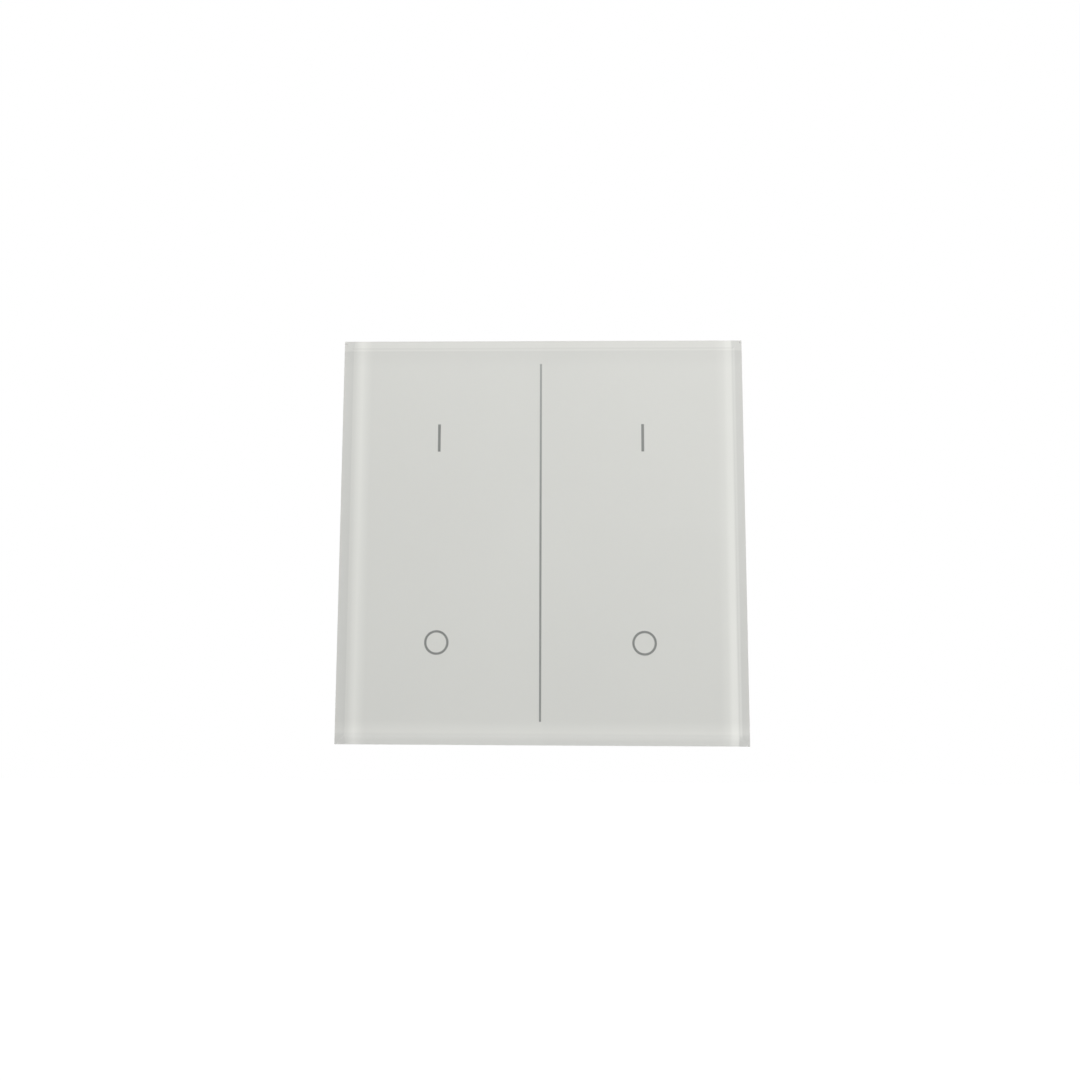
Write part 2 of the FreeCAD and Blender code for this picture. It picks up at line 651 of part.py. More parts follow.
def draw_board_window(sketch):
    """Outline of the control board with its gap all round."""
    draw_box(sketch, 0, 0, 2 * window_half, 2 * window_half)


def make_base_frame():
    """Flange against the wall, with two screw slots and a window for the buttons."""
    body = new_body("base_frame")
    outline = sketch_on(body, "FlangeOutline", 0)
    draw_box(outline, 0, 0, frame_side, frame_side)
    block = pad(body, outline, size.frame_flange + size.frame_rim_rise)
    doc.recompute()
    rounded = round_edges(body, block, edges_along_y(body.Shape), size.frame_corner)
    doc.recompute()
    chamfer_edges(body, rounded, edges_at_level(body.Shape, as_size(0)), size.soft_edge)
    rim = sketch_on(body, "RimHollow", size.frame_flange + size.frame_rim_rise)
    rim_side = frame_side - 2 * size.frame_rim_wall
    draw_box(rim, 0, 0, rim_side, rim_side)
    pocket(body, rim, size.frame_rim_rise)
    window = sketch_on(body, "Window", size.frame_flange)
    draw_board_window(window)
    pocket(body, window, size.frame_flange)
    slots = sketch_on(body, "WallSlots", size.frame_flange)
    for side in (-1, 1):
        x = side * size.wall_screw_pitch / 2
        draw_slot(slots, x, 0, size.wall_slot_length, size.wall_slot_width)
    pocket(body, slots, size.frame_flange)
    holes = sketch_on(body, "CaseScrewHoles", size.frame_flange)
    for x, z in quarters(case_screw_x, case_screw_z):
        draw_circle(holes, x, z, size.case_screw_radius + size.screw_play)
    pocket(body, holes, size.frame_flange)


def make_screws(label, places, seat, radius, head, head_rise, length):
    """A set of pan-head screws whose heads sit at one level, with a straight slot."""
    body = new_body(label)
    shanks = sketch_on(body, f"{label}_shanks", seat)
    heads = sketch_on(body, f"{label}_heads", seat)
    slots = sketch_on(body, f"{label}_slots", seat + head_rise)
    for x, z in places:
        draw_circle(shanks, x, z, radius)
        draw_circle(heads, x, z, head)
        draw_box(slots, x, z, 2 * head, size.drive_width)
    pad(body, heads, head_rise)
    pad(body, shanks, length, towards_wall=True)
    pocket(body, slots, size.drive_depth)


def make_case_screws():
    """Four screws that pull the housing up to the mounting frame."""
    make_screws(
        "case_screws",
        quarters(case_screw_x, case_screw_z),
        size.frame_flange,
        size.case_screw_radius,
        size.case_screw_head,
        size.case_screw_head_rise,
        size.case_screw_length,
    )


# Buttons: control board, silicone domes and what is soldered there.


def board_screw_places():
    """Where the control board is screwed to the lid."""
    x = ring_inner - size.board_screw_inset_x
    return [(side * x, size.board_screw_inset_z - ring_inner) for side in (-1, 1)]


def make_control_board():
    """Board with a slot for each post of the lid."""
    body = new_body("control_board")
    outline = sketch_on(body, "BoardOutline", lid_face)
    draw_box(outline, 0, 0, 2 * board_half, 2 * board_half)
    pad(body, outline, size.board_thickness)
    cuts = sketch_on(body, "BoardCuts", board_face)
    for side in (-1, 1):
        draw_box(
            cuts,
            0,
            side * (ear_start + ear_end) / 2,
            size.ear_width + 2 * size.post_play,
            size.ear_thickness + 2 * size.post_play,
        )
    for x, z in board_screw_places():
        draw_circle(cuts, x, z, size.board_screw_radius + size.screw_play)
    pocket(body, cuts, size.board_thickness)


def make_board_screws():
    """Two small screws that hold the control board to the lid."""
    make_screws(
        "board_screws",
        board_screw_places(),
        board_face,
        size.board_screw_radius,
        size.board_screw_head,
        size.board_screw_head_rise,
        size.board_screw_length,
    )


def make_dome_mat():
    """One silicone moulding: a dome under each mark, joined round the outside."""
    body = new_body("dome_mat")
    strips = sketch_on(body, "MatStrips", board_face)
    draw_box(strips, 0, 0, 2 * mat_half, 2 * mat_half)
    draw_box(strips, 0, 0, 2 * slot_end, 2 * slot_end)
    pad(body, strips, size.mat_thickness)
    pads = sketch_on(body, "MatPads", board_face)
    pad_middle = mat_half - size.mat_pad / 2
    for x, z in quarters(pad_middle, pad_middle):
        draw_box(pads, x, z, size.mat_pad, size.mat_pad)
    pad(body, pads, size.mat_thickness)
    domes = sketch_on(body, "Domes", board_face + size.mat_thickness)
    hollows = sketch_on(body, "DomeHollows", board_face)
    for x, z in quarters(dome_reach, dome_reach):
        draw_circle(domes, x, z, size.dome_radius)
        draw_circle(hollows, x, z, size.dome_radius - size.dome_wall)
    cone = pad(body, domes, size.dome_rise)
    bind(cone, "TaperAngle", -size.dome_taper)
    hollow = pocket(body, hollows, dome_top - size.dome_wall - board_face, forward=True)
    bind(hollow, "TaperAngle", -size.dome_taper)


def make_contact_pills():
    """Conductive pills under the domes' roofs, which bridge the pads on the board."""
    body = new_body("contact_pills")
    pills = sketch_on(body, "Pills", dome_top - size.dome_wall)
    for x, z in quarters(dome_reach, dome_reach):
        draw_circle(pills, x, z, size.pill_radius)
    pad(body, pills, size.pill_thickness, towards_wall=True)


def make_controller_chip():
    """Square chip in the middle of the control board."""
    body = new_body("controller_chip")
    outline = sketch_on(body, "ChipOutline", board_face)
    draw_box(outline, 0, 0, size.chip_side, size.chip_side)
    pad(body, outline, size.chip_rise)


def make_board_components():
    """Small resistors and capacitors in a row above and below the controller chip."""
    body = new_body("board_components")
    parts = sketch_on(body, "SmallParts", board_face)
    pitch = size.small_part_length + size.small_part_gap
    z = (size.chip_side + size.small_part_width) / 2 + size.small_part_gap
    for end in (-1, 1):
        for step in (-1, 0, 1):
            draw_box(parts, step * pitch, end * z, size.small_part_length, size.small_part_width)
    pad(body, parts, size.small_part_rise)


def trimmer_place(side):
    """The middle of one trimmer."""
    return side * (ring_inner - size.trimmer_inset_x), ring_inner - size.trimmer_inset_z


def make_trimmer_cases():
    """Two trimmers, each with a round well for its dial."""
    body = new_body("trimmer_cases")
    outline = sketch_on(body, "TrimmerOutline", board_face)
    wells = sketch_on(body, "TrimmerWells", board_face + size.trimmer_rise)
    for side in (-1, 1):
        x, z = trimmer_place(side)
        draw_box(outline, x, z, size.trimmer_side, size.trimmer_side)
        draw_circle(wells, x, z, size.rotor_radius + size.rotor_play)
    pad(body, outline, size.trimmer_rise)
    pocket(body, wells, size.rotor_depth - size.rotor_proud)


def make_trimmer_dial(label, side):
    """The dial of one trimmer, turned with a small screwdriver."""
    body = new_body(label)
    top = board_face + size.trimmer_rise + size.rotor_proud
    x, z = trimmer_place(side)
    disc = sketch_on(body, f"{label}_disc", top)
    draw_circle(disc, x, z, size.rotor_radius)
    pad(body, disc, size.rotor_depth, towards_wall=True)
    slot = sketch_on(body, f"{label}_slot", top)
    draw_box(slot, x, z, 2 * size.rotor_radius, size.rotor_slot)
    pocket(body, slot, size.rotor_slot_depth)


def make_link(label, front, depth):
    """Half of the connector between the two boards."""
    body = new_body(label)
    outline = sketch_on(body, f"{label}_outline", front)
    draw_box(outline, 0, -size.link_z, size.link_width, size.link_height)
    pad(body, outline, depth, towards_wall=True)


# Insulating lid.


def make_module_lid():
    """Lid of the housing, which carries the control board and the ring's two posts."""
    body = new_body("module_lid")
    half_x = inner_half_x - size.lid_play
    half_z = inner_half_z - size.lid_play
    notch_x = case_screw_x - size.boss_radius - size.lid_play
    notch_z = case_screw_z - size.boss_radius - size.lid_play
    outline = sketch_on(body, "LidOutline", lid_back)
    draw_polygon(
        outline,
        [
            (-notch_x, -half_z),
            (notch_x, -half_z),
            (notch_x, -notch_z),
            (half_x, -notch_z),
            (half_x, notch_z),
            (notch_x, notch_z),
            (notch_x, half_z),
            (-notch_x, half_z),
            (-notch_x, notch_z),
            (-half_x, notch_z),
            (-half_x, -notch_z),
            (-notch_x, -notch_z),
        ],
    )
    pad(body, outline, size.lid_thickness)
    lips = sketch_on(body, "LidLips", lid_face)
    for end in (-1, 1):
        middle = end * (window_half + half_z) / 2
        draw_box(lips, 0, middle, 2 * notch_x, half_z - window_half)
    pad(body, lips, size.board_recess)
    posts = sketch_on(body, "Posts", lid_face)
    for end in (-1, 1):
        draw_box(posts, 0, end * (ear_start + ear_end) / 2, size.ear_width, size.ear_thickness)
    pad(body, posts, axis_level + size.post_rise - lid_face)
    add_pin_holes(body, "PostHole", "XY_Plane")
    legs = sketch_on(body, "LidLegs", lid_back)
    for z in (upper_column_z, lower_column_z):
        for side in (-1, 1):
            draw_circle(legs, side * column_x, z, size.column_radius)
    for x, z in board_screw_places():
        draw_circle(legs, x, z, size.leg_radius)
    pad(body, legs, lid_back - power_front, towards_wall=True)
    cuts = sketch_on(body, "LidCuts", lid_face)
    gap = 2 * size.window_gap
    draw_box(cuts, 0, -size.link_z, size.link_width + gap, size.link_height + gap)
    pocket(body, cuts, size.lid_thickness)
    threads = sketch_on(body, "LidThreads", lid_face)
    for x, z in board_screw_places():
        draw_circle(threads, x, z, size.board_screw_radius + size.thread_bite)
    pocket(body, threads, size.board_screw_length - size.board_thickness + size.screw_play)


# Rear housing with its power board and terminals.


def terminal_places():
    """The middle of each terminal, across."""
    count = round(size.terminal_count.number)
    return [(index - (count - 1) / 2) * size.terminal_pitch for index in range(count)]


def terminal_half_width():
    """Half the width of the terminal block."""
    count = round(size.terminal_count.number)
    return (count - 1) / 2 * size.terminal_pitch + clamp_chamber_width() / 2 + size.terminal_wall


def clamp_chamber_width():
    """Width of the chamber that a clamp rides in."""
    return size.clamp_width + 2 * size.clamp_play


def clamp_z():
    """Height of the middle of the clamps and their screws."""
    return housing_foot + size.wire_entry_wall + size.clamp_play + size.clamp_height / 2


def clamp_front():
    """Level of the clamp's gripping bar, nearest the wall plane."""
    return entry_level + size.clamp_opening / 2 + size.clamp_floor


def make_rear_housing():
    """Open box with a shallower shelf for the terminals, screw bosses and board columns."""
    body = new_body("rear_housing")
    outline = sketch_on(body, "HousingOutline", 0)
    draw_box(outline, 0, 0, 2 * housing_half_x, 2 * housing_half_z)
    block = pad(body, outline, size.housing_depth, towards_wall=True)
    doc.recompute()
    round_edges(body, block, edges_along_y(body.Shape), size.housing_corner)
    step = sketch_on(body, "ShelfStep", shelf_back)
    step_middle = housing_foot + size.shelf_height / 2
    draw_box(step, 0, step_middle, 2 * housing_half_x, size.shelf_height)
    stepped = pocket(body, step, size.housing_depth - size.shelf_depth)
    doc.recompute()
    deep_rim = edges_at_level(body.Shape, -size.housing_depth)
    shelf_rim = edges_at_level(body.Shape, shelf_back)
    inner_corner = max(shelf_rim, key=lambda name: body.Shape.getElement(name).CenterOfMass.z)
    shelf_rim.remove(inner_corner)
    round_edges(body, stepped, deep_rim + shelf_rim, size.housing_edge)
    deep = sketch_on(body, "DeepHollow", 0)
    draw_box(deep, 0, (deep_foot + inner_half_z) / 2, 2 * inner_half_x, inner_half_z - deep_foot)
    pocket(body, deep, -inner_back)
    shallow = sketch_on(body, "ShallowHollow", 0)
    shallow_height = deep_foot + inner_half_z
    draw_box(shallow, 0, deep_foot - shallow_height / 2, 2 * inner_half_x, shallow_height)
    pocket(body, shallow, -shelf_inner)
    seat = sketch_on(body, "BoardSeat", 0)
    draw_board_window(seat)
    pocket(body, seat, size.board_recess)
    boss_depth = -power_back - size.terminal_window_gap
    bosses = sketch_on(body, "ScrewBosses", 0)
    for x, z in quarters(case_screw_x, case_screw_z):
        draw_circle(bosses, x, z, size.boss_radius)
    pad(body, bosses, boss_depth, towards_wall=True)
    rows = ((upper_column_z, inner_back, "Upper"), (lower_column_z, shelf_inner, "Lower"))
    for z, floor, word in rows:
        columns = sketch_on(body, f"{word}Columns", power_back)
        for side in (-1, 1):
            draw_circle(columns, side * column_x, z, size.column_radius)
        pad(body, columns, power_back - floor, towards_wall=True)
    threads = sketch_on(body, "CaseScrewThreads", 0)
    for x, z in quarters(case_screw_x, case_screw_z):
        draw_circle(threads, x, z, size.case_screw_radius + size.thread_bite)
    pocket(body, threads, boss_depth)
    cut_terminal_window(body)
    access = sketch_on(body, "ScrewAccess", shelf_inner)
    for x in terminal_places():
        draw_circle(access, x, clamp_z(), size.screw_access_radius)
    pocket(body, access, size.housing_wall)
    vents = sketch_on(body, "Vents", inner_back)
    top_vents = sketch_on(body, "TopVents", housing_half_z, "XY_Plane")
    count = round(size.vent_count.number)
    for index in range(count):
        x = (index - (count - 1) / 2) * size.vent_pitch
        draw_box(vents, x, vent_z, size.vent_width, size.vent_length)
        draw_box(top_vents, x, size.top_vent_middle, size.vent_width, size.top_vent_length)
    pocket(body, vents, size.housing_wall)
    pocket(body, top_vents, size.housing_wall)
    label = sketch_on(body, "LabelBed", -size.housing_depth)
    label_z = vent_z - size.vent_length / 2 - size.label_drop
    draw_box(label, 0, label_z, size.label_width, size.label_height)
    pocket(body, label, size.label_depth, forward=True)


def cut_terminal_window(body):
    """Window in the housing's foot, which the face of the terminal block fills."""
    gap = size.terminal_window_gap
    window = sketch_on(body, "TerminalWindow", power_back + gap)
    width = 2 * (terminal_half_width() + gap)
    draw_box(window, 0, housing_foot + size.housing_wall / 2, width, size.housing_wall)
    pocket(body, window, power_back + gap - shelf_inner)


def make_power_board():
    """Mains-side board."""
    body = new_body("power_board")
    outline = sketch_on(body, "PowerOutline", power_back)
    draw_box(outline, 0, 0, 2 * (inner_half_x - size.lid_play), 2 * board_half)
    pad(body, outline, size.board_thickness)


def make_terminal_block():
    """Block at the housing's foot: round wire entries below, chambers open to the back."""
    body = new_body("terminal_block")
    outline = sketch_on(body, "TerminalOutline", power_back)
    middle = housing_foot + size.terminal_height / 2
    draw_box(outline, 0, middle, 2 * terminal_half_width(), size.terminal_height)
    pad(body, outline, power_back - shelf_inner, towards_wall=True)
    chambers = sketch_on(body, "Chambers", clamp_front() + size.clamp_play)
    height = size.clamp_height + 2 * size.clamp_play
    for x in terminal_places():
        draw_box(chambers, x, clamp_z(), clamp_chamber_width(), height)
    pocket(body, chambers, clamp_front() + size.clamp_play - shelf_inner)
    entries = sketch_on(body, "WireEntries", housing_foot, "XY_Plane")
    for x in terminal_places():
        draw_circle(entries, x, -entry_level, size.wire_entry_radius)
    pocket(body, entries, size.wire_entry_wall + size.clamp_play, forward=True)


def make_terminal_clamps():
    """Metal clamps, each with an opening for the wire and a threaded bar."""
    body = new_body("terminal_clamps")
    front = clamp_front()
    depth = size.clamp_floor + size.clamp_opening + size.clamp_nut
    outline = sketch_on(body, "ClampOutline", front)
    openings = sketch_on(body, "ClampOpenings", front - size.clamp_floor)
    threads = sketch_on(body, "ClampThreads", front - depth)
    for x in terminal_places():
        draw_box(outline, x, clamp_z(), size.clamp_width, size.clamp_height)
        opening = size.clamp_width - 2 * size.clamp_side
        draw_box(openings, x, clamp_z(), opening, size.clamp_height)
        draw_circle(threads, x, clamp_z(), size.clamp_screw_radius + size.thread_bite)
    pad(body, outline, depth, towards_wall=True)
    pocket(body, openings, size.clamp_opening)
    pocket(body, threads, size.clamp_nut, forward=True)


def make_terminal_screws():
    """Screws in the clamps, turned from the back of the housing."""
    body = new_body("terminal_screws")
    head_back = shelf_inner + size.clamp_play
    head_front = head_back + size.clamp_screw_head_rise
    tip = entry_level - size.clamp_opening / 2
    shanks = sketch_on(body, "TerminalShanks", head_front)
    heads = sketch_on(body, "TerminalHeads", head_front)
    slots = sketch_on(body, "TerminalSlots", head_back)
    for x in terminal_places():
        draw_circle(shanks, x, clamp_z(), size.clamp_screw_radius)
        draw_circle(heads, x, clamp_z(), size.clamp_screw_head)
        draw_box(slots, x, clamp_z(), 2 * size.clamp_screw_head, size.drive_width)
    pad(body, heads, size.clamp_screw_head_rise, towards_wall=True)
    pad(body, shanks, tip - head_front)
    pocket(body, slots, size.drive_depth, forward=True)


# Power components, all soldered to the back of the power board in three rows.


def spread(start, end, lengths):
    """Middles of things of these lengths, with equal gaps from a start to an end."""
    gap = (end - start - sum(lengths)) / (len(lengths) + 1)
    middles = []
    for length in lengths:
        middles.append(start + gap + length / 2)
        start = start + gap + length
    return middles


choke_width = 2 * size.choke_radius
low_row = [choke_width, choke_width, size.varistor_thickness, 2 * size.bulk_cap_radius]
*choke_x, disc_x, bulk_x = spread(-inner_half_x, inner_half_x, low_row)
middle_row = [size.film_cap_width, size.film_cap_width, size.supply_width]
*film_cap_x, supply_x = spread(-inner_half_x, inner_half_x, middle_row)
row_heights = [choke_width, size.supply_height, size.fuse_length]
column_foot = upper_column_z - size.column_radius
choke_z, supply_z, fuse_z = spread(deep_foot, column_foot, row_heights)


def spreader_front():
    """Level of the heat spreader's face."""
    return inner_back + size.spreader_thickness


def draw_spreader_outline(sketch):
    """The heat spreader and its insulating sheet share one outline."""
    width = 2 * (inner_half_x - size.spreader_margin)
    draw_box(sketch, 0, vent_z, width, size.spreader_height)


def make_heat_spreader():
    """Aluminium plate against the back of the housing, behind the cooling slots."""
    body = new_body("heat_spreader")
    outline = sketch_on(body, "SpreaderOutline", spreader_front())
    draw_spreader_outline(outline)
    pad(body, outline, size.spreader_thickness, towards_wall=True)


def make_insulating_pad():
    """Thin sheet between the transistors and the heat spreader."""
    body = new_body("insulating_pad")
    outline = sketch_on(body, "InsulatorOutline", spreader_front())
    draw_spreader_outline(outline)
    pad(body, outline, size.pad_thickness)


def make_power_transistors():
    """One transistor for each channel: moulded body, metal tab and three legs to the board."""
    body = new_body("power_transistors")
    seat = spreader_front() + size.pad_thickness
    body_foot = vent_z - size.spreader_height / 2
    body_middle = body_foot + size.transistor_body / 2
    tab_middle = body_foot + size.transistor_body + size.transistor_tab / 2
    legs = sketch_on(body, "TransistorLegs", seat + size.transistor_thickness)
    bodies = sketch_on(body, "TransistorBodies", seat)
    tabs = sketch_on(body, "TransistorTabs", seat)
    for side in (-1, 1):
        x = side * size.transistor_x
        draw_box(bodies, x, body_middle, size.transistor_width, size.transistor_body)
        draw_box(tabs, x, tab_middle, size.transistor_width, size.transistor_tab)
        for step in (-1, 0, 1):
            leg_z = body_foot + size.lead_side
            draw_box(legs, x + step * size.lead_pitch, leg_z, size.lead_side, size.lead_side)
    pad(body, bodies, size.transistor_thickness)
    pad(body, tabs, size.tab_thickness)
    pad(body, legs, power_back - seat - size.transistor_thickness)


def make_choke_cores():
    """Drum cores: a post between two flanges."""
    body = new_body("choke_cores")
    near = sketch_on(body, "NearFlanges", power_back)
    posts = sketch_on(body, "ChokePosts", power_back)
    far = sketch_on(body, "FarFlanges", power_back - size.choke_height + size.choke_flange)
    for x in choke_x:
        draw_circle(near, x, choke_z, size.choke_radius)
        draw_circle(posts, x, choke_z, size.choke_core_radius)
        draw_circle(far, x, choke_z, size.choke_radius)
    pad(body, near, size.choke_flange, towards_wall=True)
    pad(body, posts, size.choke_height, towards_wall=True)
    pad(body, far, size.choke_flange, towards_wall=True)


def make_choke_coils():
    """The wound copper of each choke."""
    body = new_body("choke_coils")
    coils = sketch_on(body, "Coils", power_back - size.choke_flange - size.coil_play)
    for x in choke_x:
        draw_circle(coils, x, choke_z, size.choke_radius - size.coil_inset)
        draw_circle(coils, x, choke_z, size.choke_core_radius + size.coil_play)
    height = size.choke_height - 2 * size.choke_flange - 2 * size.coil_play
    pad(body, coils, height, towards_wall=True)


def make_blocks(label, places, width, height, depth):
    """A set of equal box-shaped components on the power board."""
    body = new_body(label)
    outline = sketch_on(body, f"{label}_outline", power_back)
    for x, z in places:
        draw_box(outline, x, z, width, height)
    pad(body, outline, depth, towards_wall=True)


def make_film_capacitors():
    """Two interference capacitors above the chokes."""
    places = [(x, supply_z) for x in film_cap_x]
    width, height = size.film_cap_width, size.film_cap_height
    make_blocks("film_capacitors", places, width, height, size.film_cap_depth)


def make_bulk_capacitor():
    """Electrolytic capacitor of the low-voltage supply."""
    body = new_body("bulk_capacitor")
    can = sketch_on(body, "BulkCan", power_back)
    draw_circle(can, bulk_x, choke_z, size.bulk_cap_radius)
    pad(body, can, size.bulk_cap_depth, towards_wall=True)


def make_surge_disc():
    """Varistor across the line, a disc standing on the board."""
    body = new_body("surge_disc")
    disc = sketch_on(body, "Disc", disc_x - size.varistor_thickness / 2, "YZ_Plane")
    draw_circle(disc, size.varistor_radius - power_back, choke_z, size.varistor_radius)
    pad(body, disc, size.varistor_thickness)


def make_line_fuse():
    """Fuse lying on the board, up and down."""
    body = new_body("line_fuse")
    end = sketch_on(body, "FuseEnd", fuse_z - size.fuse_length / 2, "XY_Plane")
    draw_circle(end, -fuse_x, size.fuse_radius - power_back, size.fuse_radius)
    pad(body, end, size.fuse_length)


def make_root():
    """Everything that stays still in the wall box."""
    make_base_frame()
    make_case_screws()
    make_control_board()
    make_board_screws()
    make_dome_mat()
    make_contact_pills()
    make_controller_chip()
    make_board_components()
    make_trimmer_cases()
    make_link("link_plug", lid_face, size.link_plug_depth)
    link_joint = lid_face - size.link_plug_depth
    make_link("link_socket", link_joint, link_joint - power_front)
    make_module_lid()
    make_rear_housing()
    make_power_board()
    make_terminal_block()
    make_terminal_clamps()
    make_terminal_screws()
    make_heat_spreader()
    make_insulating_pad()
    make_power_transistors()
    make_choke_cores()
    make_choke_coils()
    make_film_capacitors()
    make_bulk_capacitor()
    make_surge_disc()
    make_line_fuse()
    supply = [(supply_x, supply_z)]
    make_blocks("supply_module", supply, size.supply_width, size.supply_height, size.supply_depth)
    drivers = [(fuse_x, fuse_z + end * size.driver_reach) for end in (-1, 1)]
    make_blocks("driver_chips", drivers, size.driver_side, size.driver_side, size.driver_rise)


def make_moving():
    """The pane with its tray, the ring that it leans on, and the trimmer dials."""
    make_glass_pane()
    make_backing_film()
    make_printed_marks()
    make_bonding_sheet()
    make_pane_carrier()
    make_gimbal_ring()
    make_pivot_pins()
    make_trimmer_dial("trimmer_dial_left", -1)
    make_trimmer_dial("trimmer_dial_right", 1)


def check_document(bodies):
    """Stop before anything is written if a feature failed or a piece is not a good solid."""
    for thing in doc.Objects:
        if {"Invalid", "Error"} & set(thing.State):
            raise RuntimeError(f"{thing.Label} failed: {thing.State}")
    for body in bodies:
        if body.Shape.isNull() or not body.Shape.isValid() or not body.Shape.Solids:
            raise RuntimeError(f"{body.Label} has no valid solid")


def export_parts(bodies):
    """Write each piece to its own file."""
    os.makedirs("parts", exist_ok=True)
    for body in bodies:
        body.Shape.exportStep(f"parts/{body.Label}.step")
        box = body.Shape.BoundBox
        print(
            f"{body.Label:22s} {len(body.Shape.Solids)} solids {body.Shape.Volume:10.2f} mm3"
            f"  x {box.XMin:7.2f} {box.XMax:7.2f}  y {box.YMin:7.2f} {box.YMax:7.2f}"
            f"  z {box.ZMin:7.2f} {box.ZMax:7.2f}"
        )


make_root()
make_moving()
doc.recompute()
pieces = [thing for thing in doc.Objects if thing.TypeId == "PartDesign::Body"]
check_document(pieces)
export_parts(pieces)
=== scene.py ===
"""Looks of the two-channel push dimmer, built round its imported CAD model. Metres; +Z up, -Y forward."""

import json

import bmesh
import bpy
from mathutils import Matrix, Vector


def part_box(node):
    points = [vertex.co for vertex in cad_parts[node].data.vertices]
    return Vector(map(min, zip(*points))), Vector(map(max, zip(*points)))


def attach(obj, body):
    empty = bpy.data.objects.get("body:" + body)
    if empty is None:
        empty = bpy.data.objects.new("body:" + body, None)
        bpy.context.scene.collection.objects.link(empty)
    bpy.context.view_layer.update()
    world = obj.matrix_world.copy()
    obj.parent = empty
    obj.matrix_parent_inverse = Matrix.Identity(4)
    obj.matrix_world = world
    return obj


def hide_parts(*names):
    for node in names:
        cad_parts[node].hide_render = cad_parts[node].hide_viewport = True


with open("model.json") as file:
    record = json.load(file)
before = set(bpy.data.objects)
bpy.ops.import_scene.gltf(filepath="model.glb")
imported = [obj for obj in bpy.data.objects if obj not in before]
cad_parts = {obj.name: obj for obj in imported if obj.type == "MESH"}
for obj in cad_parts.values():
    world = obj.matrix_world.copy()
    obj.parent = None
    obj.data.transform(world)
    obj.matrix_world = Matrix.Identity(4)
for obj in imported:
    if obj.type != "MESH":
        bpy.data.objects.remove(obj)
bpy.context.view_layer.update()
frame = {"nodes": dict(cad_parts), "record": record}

MM = 0.001
scene = bpy.context.scene

# The pane, in millimetres, with its box from the frame.
PANE_LOW, PANE_HIGH = [Vector(corner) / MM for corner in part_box("glass_pane")]
PANE_HALF = PANE_HIGH.x
PANE_FRONT = PANE_LOW.y
PANE_BACK = PANE_HIGH.y
PANE_CORNER = 0.03
ARRIS = 0.03
BEVEL_WIDTH = 2.2
BEVEL_DROP = 1.0
SHOULDER = 0.15
# How far inside the outline and behind the face each ring of the pane lies, from its side to its face.
# The bevel's two edges are slightly rounded.
BEVEL_RINGS = (
    (0.0, BEVEL_DROP + 0.12),
    (0.04, BEVEL_DROP + 0.03),
    (0.16, BEVEL_DROP - 0.06),
    (BEVEL_WIDTH - 0.25, 0.1),
    (BEVEL_WIDTH - 0.02, 0.02),
    (BEVEL_WIDTH + SHOULDER, 0.0),
)
# The pane stands a little off the solids behind it, and the marks a little in front of its print.
PANE_GAP = 0.002
MARKS_RISE = 0.012
# Vertices nearer than this, in metres, are at one place.
SAME_PLACE = 1e-6

# The print behind the glass. Across an edge band its tone carries painted highlights and painted shade of
# the bevel, by the distance from the outline in millimetres. 0 is darker than the plain tone by the
# contrast below, and 1 lighter.
FILM_LOW = (0.625, 0.617, 0.594)
FILM_HIGH = (0.646, 0.638, 0.613)
BAND_END = 6.0
BAND_PLAIN = 0.5
PAINTED_LIGHT_CONTRAST = 0.2
# Painted light and shade for each side: the first of each pair is for the left or the lower side, the
# second for the right or the upper.
SIDE_PAINTED_LIGHT = (
    ((0.0, 0.62), (0.5, 0.52), (2.0, 0.46), (2.8, 0.73), (3.6, 0.89), (4.8, 0.67), (5.8, 0.53)),
    ((0.0, 0.55), (0.3, 0.5), (1.7, 0.47), (2.1, 0.86), (3.0, 0.83), (3.9, 0.62), (5.5, 0.5)),
)
END_PAINTED_LIGHT = (
    ((0.0, 0.5), (0.9, 0.47), (1.8, 0.6), (2.4, 0.73), (3.3, 0.64), (4.8, 0.5)),
    ((0.0, 0.64), (1.5, 0.68), (1.8, 0.4), (3.4, 0.43), (5.5, 0.5)),
)
# The right band of painted light grows stronger from this height down to the foot.
GROWTH_START = 10.0
FOOT_STRENGTH = 1.67

# Painted shade on the bevel's glass, by its sides in the same order.
WHITE = (1.0, 1.0, 1.0)
CLEAR = (0.995, 0.998, 0.995)
SIDE_BEVEL_SHADES = ((0.86, 0.862, 0.868), (0.885, 0.887, 0.893))
END_BEVEL_SHADES = ((0.94, 0.942, 0.946), WHITE)
GLASS_DEPTH_COLOUR = (0.76, 0.95, 0.86)
GLASS_DEPTH_DENSITY = 8.0

# The printed marks. The line down the middle lies within LINE_REACH millimetres of it, and grows paler
# from half height up to FADE_TOP.
INK = (0.174, 0.176, 0.17)
LINE_INK = (0.215, 0.217, 0.211)
LINE_TOP_INK = (0.31, 0.312, 0.305)
FADE_TOP = 38.0
LINE_REACH = 1.0

STEEL = (0.66, 0.65, 0.63)
ZINC = (0.73, 0.74, 0.75)
# Distance between the bands of a wave texture at a scale of 1.
WAVE_PERIOD = 0.31

# The photograph's camera: its turn as an axis times an angle, and where the middle of the pane's outline
# lies from it in millimetres, both with X to the right, Y down and Z away from the camera.
CAMERA_TURN = Vector((-0.09245, 0.01796, 0.00207))
OUTLINE_FROM_CAMERA = Vector((0.379, -0.336, 164.98))
FOCAL_PIXELS = 779.4
PHOTO_PIXELS = 1080
SENSOR_WIDTH = 36.0
NEAR_CLIP = 0.001

WORLD_LIGHT = 0.56
FLOOR_GLOW = 0.5
# The floor's half side and height, in millimetres.
FLOOR_HALF_SIDE = 4000.0
FLOOR_LEVEL = -900.0

# Every material by its name.
MATERIALS = {}


